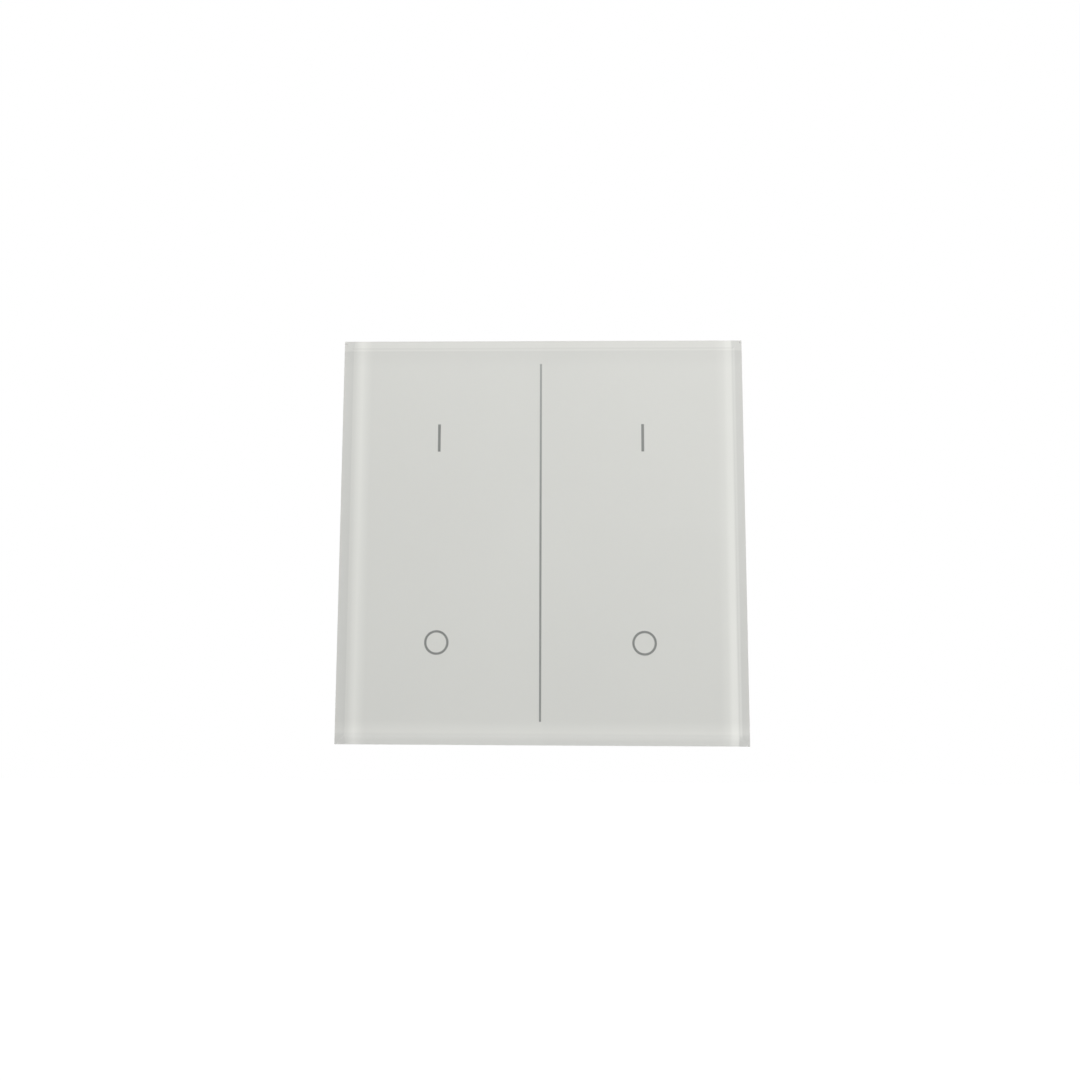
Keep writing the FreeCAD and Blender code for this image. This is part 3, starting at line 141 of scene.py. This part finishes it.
class Tree:
    """Short ways to make the nodes of a material or of the world."""

    def __init__(self, owner):
        owner.use_nodes = True
        self.nodes = owner.node_tree.nodes
        self.links = owner.node_tree.links
        self.shader = self.nodes.get("Principled BSDF")
        self.output = self.nodes.get("Material Output")

    def node(self, kind, inputs=None, **settings):
        """A node with its settings, and its inputs as numbers, colours or other sockets."""
        made = self.nodes.new(kind)
        for key, value in settings.items():
            setattr(made, key, value)
        for key, value in (inputs or {}).items():
            self.feed(made.inputs[key], value)
        return made

    def feed(self, socket, value):
        """Link a socket, or set it."""
        if isinstance(value, bpy.types.NodeSocket):
            self.links.new(value, socket)
        elif isinstance(value, (tuple, list)) and socket.type == "RGBA":
            socket.default_value = (*value[:3], 1)
        else:
            socket.default_value = value

    def surface(self, **values):
        """Set or link inputs of the Principled shader, with underscores for spaces."""
        for key, value in values.items():
            self.feed(self.shader.inputs[key.replace("_", " ")], value)

    def place(self, scale=(1, 1, 1)):
        """Object coordinates in millimetres, stretched by a scale."""
        coordinates = self.node("ShaderNodeTexCoord").outputs["Object"]
        mapping = self.node("ShaderNodeMapping", {"Vector": coordinates})
        mapping.inputs["Scale"].default_value = [axis / MM for axis in scale]
        return mapping.outputs["Vector"]

    def axes(self):
        """The X, Y and Z of a point in millimetres."""
        return self.node("ShaderNodeSeparateXYZ", {"Vector": self.place()}).outputs

    def noise(self, size, detail=2.0, scale=(1, 1, 1)):
        """Noise between 0 and 1 whose lumps measure about size millimetres."""
        values = {"Vector": self.place(scale), "Scale": 1 / size, "Detail": detail}
        return self.node("ShaderNodeTexNoise", values).outputs["Fac"]

    def math(self, operation, a, b=0.0, c=0.0, clamp=False):
        """A Math node."""
        inputs = {0: a, 1: b, 2: c}
        made = self.node("ShaderNodeMath", inputs, operation=operation, use_clamp=clamp)
        return made.outputs[0]

    def spread(self, value, low, high, start=0.0, end=1.0):
        """A value from start..end stretched to low..high."""
        limits = {"From Min": start, "From Max": end, "To Min": low, "To Max": high}
        return self.node("ShaderNodeMapRange", {"Value": value, **limits}).outputs["Result"]

    def mixed(self, share, first, second, blend_type="MIX"):
        """Two colours blended or multiplied, by a share."""
        made = self.node("ShaderNodeMix", data_type="RGBA", blend_type=blend_type)
        for index, value in ((0, share), (6, first), (7, second)):
            self.feed(made.inputs[index], value)
        return made.outputs[2]

    def multiplied(self, first, second):
        """Two colours multiplied."""
        return self.mixed(1.0, first, second, "MULTIPLY")

    def bump(self, height, depth):
        """A bumped normal whose full height is depth millimetres."""
        return self.node("ShaderNodeBump", {"Height": height, "Distance": depth * MM}).outputs["Normal"]


def shade(colour, factor):
    """A colour made lighter or darker."""
    return tuple(min(1.0, channel * factor) for channel in colour)


def new_tree(name):
    """The nodes of a new material, which MATERIALS keeps by its name."""
    MATERIALS[name] = bpy.data.materials.new(name)
    return Tree(MATERIALS[name])


def moulded(name, colour, roughness, grain=0.12, depth=0.004, uneven=0.03):
    """Moulded plastic: a fine spark-eroded grain, and slow changes of tone and gloss."""
    tree = new_tree(name)
    slow = tree.noise(size=9.0, detail=3.0)
    fine = tree.noise(size=grain)
    tone = tree.math("ADD", tree.math("MULTIPLY", slow, 0.75), tree.math("MULTIPLY", fine, 0.25))
    gloss = tree.noise(size=2.5, detail=3.0)
    tree.surface(
        Base_Color=tree.mixed(tone, shade(colour, 1 - uneven), shade(colour, 1 + uneven)),
        Roughness=tree.spread(gloss, low=roughness - 0.06, high=roughness + 0.06),
        Normal=tree.bump(fine, depth),
    )


def metal(name, colour, roughness, brush=(1, 1, 1), grain=0.2):
    """Metal: fine scratches along one direction, and a slightly uneven tone."""
    tree = new_tree(name)
    lines = tree.noise(size=grain, detail=3.0, scale=brush)
    slow = tree.noise(size=3.0, detail=4.0)
    tree.surface(
        Base_Color=tree.mixed(slow, shade(colour, 0.88), shade(colour, 1.06)),
        Metallic=1.0,
        Roughness=tree.spread(lines, low=roughness - 0.08, high=roughness + 0.1),
        Normal=tree.bump(lines, depth=0.002),
    )


def painted_light_ramp(tree, depth, stops):
    """A value of painted light along the distance from the pane's outline, from stops of (distance,
    value).
    """
    ramp = tree.node("ShaderNodeValToRGB", {"Fac": tree.math("DIVIDE", depth, BAND_END)})
    elements = ramp.color_ramp.elements
    # A new element has no place of its own until the loop below.
    while len(elements) < len(stops):
        elements.new(0.5)
    for element, (place, value) in zip(elements, stops):
        element.position = place / BAND_END
        element.color = (value, value, value, 1)
    return ramp.outputs["Color"]


def edge_depths(tree):
    """How far a point lies inside the nearer upright and the nearer level edge, each with a 1 if that is
    the right or the upper edge and a 0 if not."""
    x, _, z = tree.axes()
    depths = [tree.math("SUBTRACT", PANE_HALF, tree.math("ABSOLUTE", value)) for value in (x, z)]
    sides = [tree.math("GREATER_THAN", value, 0.0) for value in (x, z)]
    return zip(depths, sides)


def film_material():
    """White print behind the glass, faintly mottled, with painted highlights and painted shade in a band
    along each side.
    """
    tree = new_tree("white_film")
    mottle = tree.noise(size=0.35)
    slow = tree.noise(size=30.0, detail=1.0)
    plain = tree.mixed(slow, FILM_LOW, FILM_HIGH)
    faint_mottle = tree.math("MULTIPLY", mottle, 0.08)
    colour = tree.mixed(faint_mottle, plain, shade(FILM_LOW, 0.93))
    _, _, height = tree.axes()
    # Painted highlights and painted shade of the bevel, by side, multiply the print's colour; the right
    # band grows towards the foot.
    growth = tree.spread(height, low=FOOT_STRENGTH, high=1.0, start=-PANE_HALF, end=GROWTH_START)
    bands_of_pair = zip(edge_depths(tree), (SIDE_PAINTED_LIGHT, END_PAINTED_LIGHT), (growth, 1.0))
    for (depth, side), bands, strength in bands_of_pair:
        first, second = [painted_light_ramp(tree, depth, band) for band in bands]
        change = tree.math("SUBTRACT", second, BAND_PLAIN)
        grown = tree.math("MULTIPLY_ADD", change, strength, BAND_PLAIN)
        level = tree.mixed(side, first, grown)
        tone = tree.spread(level, low=1 - PAINTED_LIGHT_CONTRAST, high=1 + PAINTED_LIGHT_CONTRAST)
        colour = tree.multiplied(colour, tone)
    tree.surface(
        Base_Color=colour,
        Roughness=tree.spread(mottle, low=0.5, high=0.62),
        Normal=tree.bump(mottle, depth=0.002),
    )


def ink_material():
    """Grey screen-printed ink, a little thinner in places and towards the top of the line."""
    tree = new_tree("grey_ink")
    thin = tree.noise(size=0.25, detail=3.0)
    x, _, height = tree.axes()
    towards_top = tree.spread(height, low=0.0, high=1.0, start=0.0, end=FADE_TOP)
    line_ink = tree.mixed(towards_top, LINE_INK, LINE_TOP_INK)
    on_line = tree.math("LESS_THAN", tree.math("ABSOLUTE", x), LINE_REACH)
    ink = tree.mixed(on_line, INK, line_ink)
    show_through = tree.math("MULTIPLY", thin, 0.25)
    tree.surface(
        Base_Color=tree.mixed(show_through, ink, shade(INK, 2.0)),
        Roughness=tree.spread(thin, low=0.45, high=0.6),
        Normal=tree.bump(thin, depth=0.003),
    )


def glass_material():
    """Clear glass that lets lamp light through to what is behind it, faintly green in depth, with painted
    shade on the bevel that differs by side.
    """
    tree = new_tree("clear_glass")
    smudge = tree.noise(size=14.0, detail=3.0)
    tint_and_shade = CLEAR
    # The bevel's glass is darkened by side as painted shade.
    for (depth, side), bevel_shades in zip(edge_depths(tree), (SIDE_BEVEL_SHADES, END_BEVEL_SHADES)):
        on_bevel = tree.math("LESS_THAN", depth, BEVEL_WIDTH + SHOULDER)
        tint_and_shade = tree.multiplied(tint_and_shade, tree.mixed(on_bevel, WHITE, tree.mixed(side, *bevel_shades)))
    tree.surface(
        Base_Color=tint_and_shade,
        Roughness=tree.spread(smudge, low=0.0, high=0.02, start=0.35, end=0.8),
        IOR=1.5,
        Transmission_Weight=1.0,
    )
    path = tree.node("ShaderNodeLightPath").outputs
    passing = tree.math("MAXIMUM", path["Is Shadow Ray"], path["Is Diffuse Ray"])
    clear = tree.node("ShaderNodeBsdfTransparent", {"Color": (0.99, 0.992, 0.99)})
    mix = tree.node("ShaderNodeMixShader", {0: passing})
    tree.feed(mix.inputs[1], tree.shader.outputs[0])
    tree.feed(mix.inputs[2], clear.outputs[0])
    tree.feed(tree.output.inputs["Surface"], mix.outputs[0])
    inside = {"Color": GLASS_DEPTH_COLOUR, "Density": GLASS_DEPTH_DENSITY}
    volume = tree.node("ShaderNodeVolumeAbsorption", inside)
    tree.feed(tree.output.inputs["Volume"], volume.outputs[0])


def board_material():
    """Green circuit board with paler tracks and small plated holes."""
    tree = new_tree("board_green")
    pattern = {
        "Vector": tree.place(),
        "Scale": 0.35,
        "Mortar Size": 0.03,
        "Color1": (0.02, 0.14, 0.07),
        "Color2": (0.015, 0.11, 0.055),
        "Mortar": (0.06, 0.27, 0.13),
    }
    tracks = tree.node("ShaderNodeTexBrick", pattern, offset=0.37)
    holes = tree.node("ShaderNodeTexVoronoi", {"Vector": tree.place(), "Scale": 0.3})
    in_hole = tree.math("LESS_THAN", holes.outputs["Distance"], 0.1)
    tree.surface(
        Base_Color=tree.mixed(in_hole, tracks.outputs["Color"], (0.7, 0.62, 0.4)),
        Roughness=tree.spread(tree.noise(size=1.0), low=0.3, high=0.45),
        Normal=tree.bump(tracks.outputs["Fac"], depth=0.03),
    )


def wound_material(name, colour, pitch, axis):
    """Wire wound in turns along one axis, with painted shade in the grooves between turns."""
    tree = new_tree(name)
    inputs = {"Vector": tree.place(), "Scale": WAVE_PERIOD / pitch}
    turns = tree.node("ShaderNodeTexWave", inputs, bands_direction=axis).outputs["Fac"]
    tree.surface(
        # The grooves between turns are darkened as painted shade.
        Base_Color=tree.mixed(turns, shade(colour, 0.35), colour),
        Metallic=0.9,
        Roughness=tree.spread(tree.noise(size=0.5), low=0.25, high=0.45),
        Normal=tree.bump(turns, depth=0.15),
    )


def speckled(name, colour, second, size, roughness):
    """Two tones in small grains, for ferrite, foam and epoxy."""
    tree = new_tree(name)
    grains = tree.node("ShaderNodeTexVoronoi", {"Vector": tree.place(), "Scale": 1 / size})
    tone = tree.math("MULTIPLY", grains.outputs["Distance"], 1.0, clamp=True)
    gloss = tree.noise(size=3 * size)
    tree.surface(
        Base_Color=tree.mixed(tone, colour, second),
        Roughness=tree.spread(gloss, low=roughness - 0.08, high=roughness + 0.08),
        Normal=tree.bump(tone, depth=0.05 * size),
    )


def make_materials():
    """One material for each slot of the record."""
    glass_material()
    film_material()
    ink_material()
    speckled("bonding_foam", (0.78, 0.78, 0.76), (0.7, 0.7, 0.68), size=0.2, roughness=0.8)
    moulded("tray_plastic", (0.62, 0.622, 0.605), roughness=0.42)
    moulded("ring_plastic", (0.2, 0.2, 0.21), roughness=0.4)
    metal("pin_steel", STEEL, roughness=0.22, grain=0.1)
    moulded("frame_plastic", (0.57, 0.575, 0.57), roughness=0.5, grain=0.2, depth=0.008)
    metal("screw_zinc", ZINC, roughness=0.3, grain=0.15)
    board_material()
    moulded("silicone", (0.62, 0.63, 0.63), roughness=0.6, grain=0.5, depth=0.003)
    speckled("carbon", (0.02, 0.02, 0.02), (0.05, 0.05, 0.05), size=0.1, roughness=0.7)
    moulded("chip_black", (0.025, 0.025, 0.027), roughness=0.5, grain=0.08)
    speckled("component_tan", (0.5, 0.38, 0.22), (0.42, 0.3, 0.17), size=0.2, roughness=0.5)
    moulded("trimmer_blue", (0.03, 0.13, 0.42), roughness=0.35, grain=0.2)
    moulded("dial_white", (0.8, 0.8, 0.78), roughness=0.45, grain=0.15)
    moulded("connector_black", (0.03, 0.03, 0.032), roughness=0.45, grain=0.15)
    moulded("lid_plastic", (0.72, 0.73, 0.72), roughness=0.48, grain=0.2)
    moulded("housing_plastic", (0.4, 0.405, 0.41), roughness=0.5, grain=0.22, depth=0.012, uneven=0.05)
    moulded("terminal_plastic", (0.12, 0.127, 0.135), roughness=0.45, grain=0.18, depth=0.008)
    metal("clamp_nickel", (0.72, 0.69, 0.63), roughness=0.28, brush=(1, 1, 6), grain=0.3)
    metal("terminal_zinc", ZINC, roughness=0.3, grain=0.15)
    metal("spreader_metal", (0.8, 0.81, 0.82), roughness=0.35, brush=(0.05, 1, 1), grain=0.15)
    speckled("pad_grey", (0.45, 0.46, 0.47), (0.38, 0.39, 0.4), size=0.3, roughness=0.75)
    speckled("ferrite", (0.07, 0.07, 0.072), (0.12, 0.12, 0.12), size=0.3, roughness=0.6)
    wound_material("copper_wire", (0.72, 0.33, 0.14), pitch=0.5, axis="Y")
    moulded("capacitor_box", (0.55, 0.42, 0.08), roughness=0.35, grain=0.3)
    moulded("capacitor_sleeve", (0.03, 0.04, 0.06), roughness=0.3, grain=0.4)
    moulded("surge_blue", (0.05, 0.16, 0.4), roughness=0.35, grain=0.6, depth=0.02)
    moulded("fuse_body", (0.62, 0.55, 0.42), roughness=0.3, grain=0.3)
    moulded("supply_black", (0.03, 0.03, 0.03), roughness=0.5, grain=0.25, depth=0.01)


def dress_nodes():
    """Give each CAD node the material of its slot."""
    for row in frame["record"]["subparts"]:
        piece = frame["nodes"][row["node"]]
        for slot in piece.material_slots:
            slot.material = MATERIALS[row["material_slot"]]


def add_mesh(name, build, material):
    """A new object from a function that fills a bmesh, in millimetres."""
    mesh = bpy.data.meshes.new(name)
    work = bmesh.new()
    build(work)
    bmesh.ops.scale(work, vec=(MM, MM, MM), verts=work.verts)
    bmesh.ops.recalc_face_normals(work, faces=work.faces)
    work.to_mesh(mesh)
    work.free()
    mesh.materials.append(material)
    piece = bpy.data.objects.new(name, mesh)
    scene.collection.objects.link(piece)
    return piece


def square_loop(work, half, y):
    """A ring of vertices round a square whose corners are cut off, at one depth."""
    cut = half - PANE_CORNER
    corners = ((half, cut), (cut, half), (-cut, half), (-half, cut))
    opposite = [(-x, -z) for x, z in corners]
    return [work.verts.new((x, y, z)) for x, z in (*corners, *opposite)]


def lofted(work, profile):
    """A closed body, a square at each depth of a profile of (half, y), printed on its back and arris."""
    rings = [square_loop(work, half, y) for half, y in profile]
    printed = [work.faces.new(rings[0])]
    work.faces.new(rings[-1])
    for near, far in zip(rings, rings[1:]):
        for index, vertex in enumerate(near):
            after = (index + 1) % len(near)
            side = work.faces.new((vertex, near[after], far[after], far[index]))
            if near is rings[0]:
                printed.append(side)
    for face in printed:
        face.material_index = 1


def make_glass():
    """The pane: flat front, polished bevel, and an arris round the printed back."""
    back = PANE_BACK - PANE_GAP
    profile = [(PANE_HALF - ARRIS, back), (PANE_HALF, back - ARRIS)]
    profile += [(PANE_HALF - inside, PANE_FRONT + behind) for inside, behind in BEVEL_RINGS]
    piece = add_mesh("clear_pane", lambda work: lofted(work, profile), MATERIALS["clear_glass"])
    piece.data.materials.append(MATERIALS["white_film"])
    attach(piece, "front")
    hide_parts("glass_pane")


def make_print():
    """The printed marks, raised a hair so that they lie in front of the white print."""
    source = frame["nodes"]["printed_marks"].data
    front = min(vertex.co.y for vertex in source.vertices)

    def raised(work):
        work.from_mesh(source)
        bmesh.ops.remove_doubles(work, verts=work.verts, dist=SAME_PLACE)
        for vertex in work.verts:
            if vertex.co.y < front + SAME_PLACE:
                vertex.co.y -= MARKS_RISE * MM
        bmesh.ops.scale(work, vec=(1 / MM, 1 / MM, 1 / MM), verts=work.verts)

    piece = add_mesh("ink_marks", raised, MATERIALS["grey_ink"])
    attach(piece, "front")
    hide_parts("printed_marks")


def white_where_seen(tree, plain, seen):
    """A strength that is one value for lighting, and another where the camera looks at it."""
    path = tree.node("ShaderNodeLightPath").outputs
    direct = tree.math("MAXIMUM", path["Is Camera Ray"], path["Is Glossy Ray"])
    direct = tree.math("MAXIMUM", direct, path["Is Transmission Ray"])
    return tree.spread(direct, low=plain, high=seen)


def make_world():
    """Plain white surroundings."""
    scene.world = bpy.data.worlds.new("Studio")
    tree = Tree(scene.world)
    background = tree.nodes["Background"]
    tree.feed(background.inputs["Color"], WHITE)
    tree.feed(background.inputs["Strength"], white_where_seen(tree, WORLD_LIGHT, 1.0))


def make_floor():
    """Pale floor below the wall-held object."""
    tree = new_tree("floor_paint")
    tree.surface(Base_Color=(0.92, 0.92, 0.92), Roughness=0.9)
    strength = white_where_seen(tree, 0.0, FLOOR_GLOW)
    glow = tree.node("ShaderNodeEmission", {"Color": WHITE, "Strength": strength})
    total = tree.node("ShaderNodeAddShader", {0: tree.shader.outputs[0], 1: glow.outputs[0]})
    tree.feed(tree.output.inputs["Surface"], total.outputs[0])

    def sheet(work):
        side = FLOOR_HALF_SIDE
        corners = ((-side, -side), (side, -side), (side, side), (-side, side))
        work.faces.new([work.verts.new((x, y, FLOOR_LEVEL)) for x, y in corners])

    add_mesh("floor", sheet, MATERIALS["floor_paint"])


def make_lamp(name, place, size, power):
    """A square soft lamp that faces the object, out of sight and without glare in the glass."""
    data = bpy.data.lights.new(name, "AREA")
    data.shape = "SQUARE"
    data.size = size
    data.energy = power
    lamp = bpy.data.objects.new(name, data)
    lamp.location = place
    lamp.rotation_euler = (-Vector(place)).to_track_quat("-Z", "Y").to_euler()
    lamp.visible_camera = False
    lamp.visible_glossy = False
    scene.collection.objects.link(lamp)


def make_camera():
    """The photograph's camera, worked out from the corners of the pane's outline."""
    rotation = Matrix.Rotation(CAMERA_TURN.length, 3, CAMERA_TURN.normalized())
    place = -(rotation.transposed() @ OUTLINE_FROM_CAMERA)
    # The outline lies where the bevel meets the pane's side.
    place = Vector((place.x, place.z + PANE_FRONT + BEVEL_DROP, -place.y)) * MM
    # Here Y is away from the camera and Z up, and a camera looks along its own -Z.
    to_photo = Matrix(((1, 0, 0), (0, 0, -1), (0, 1, 0)))
    to_camera = Matrix(((1, 0, 0), (0, -1, 0), (0, 0, -1)))
    facing = (to_camera @ rotation @ to_photo).transposed()
    data = bpy.data.cameras.new("photo_camera")
    data.sensor_width = SENSOR_WIDTH
    data.lens = FOCAL_PIXELS / PHOTO_PIXELS * data.sensor_width
    data.clip_start = NEAR_CLIP
    camera = bpy.data.objects.new("photo_camera", data)
    camera.matrix_world = Matrix.Translation(place) @ facing.to_4x4()
    scene.collection.objects.link(camera)
    scene.camera = camera


make_materials()
make_camera()
make_world()
make_floor()
make_lamp("key_lamp", place=(0.18, -0.42, 0.3), size=0.3, power=1.85)
make_lamp("back_lamp", place=(-0.45, 0.6, 0.25), size=0.7, power=3.2)
scene.view_settings.view_transform = "Standard"

dress_nodes()
make_glass()
make_print()
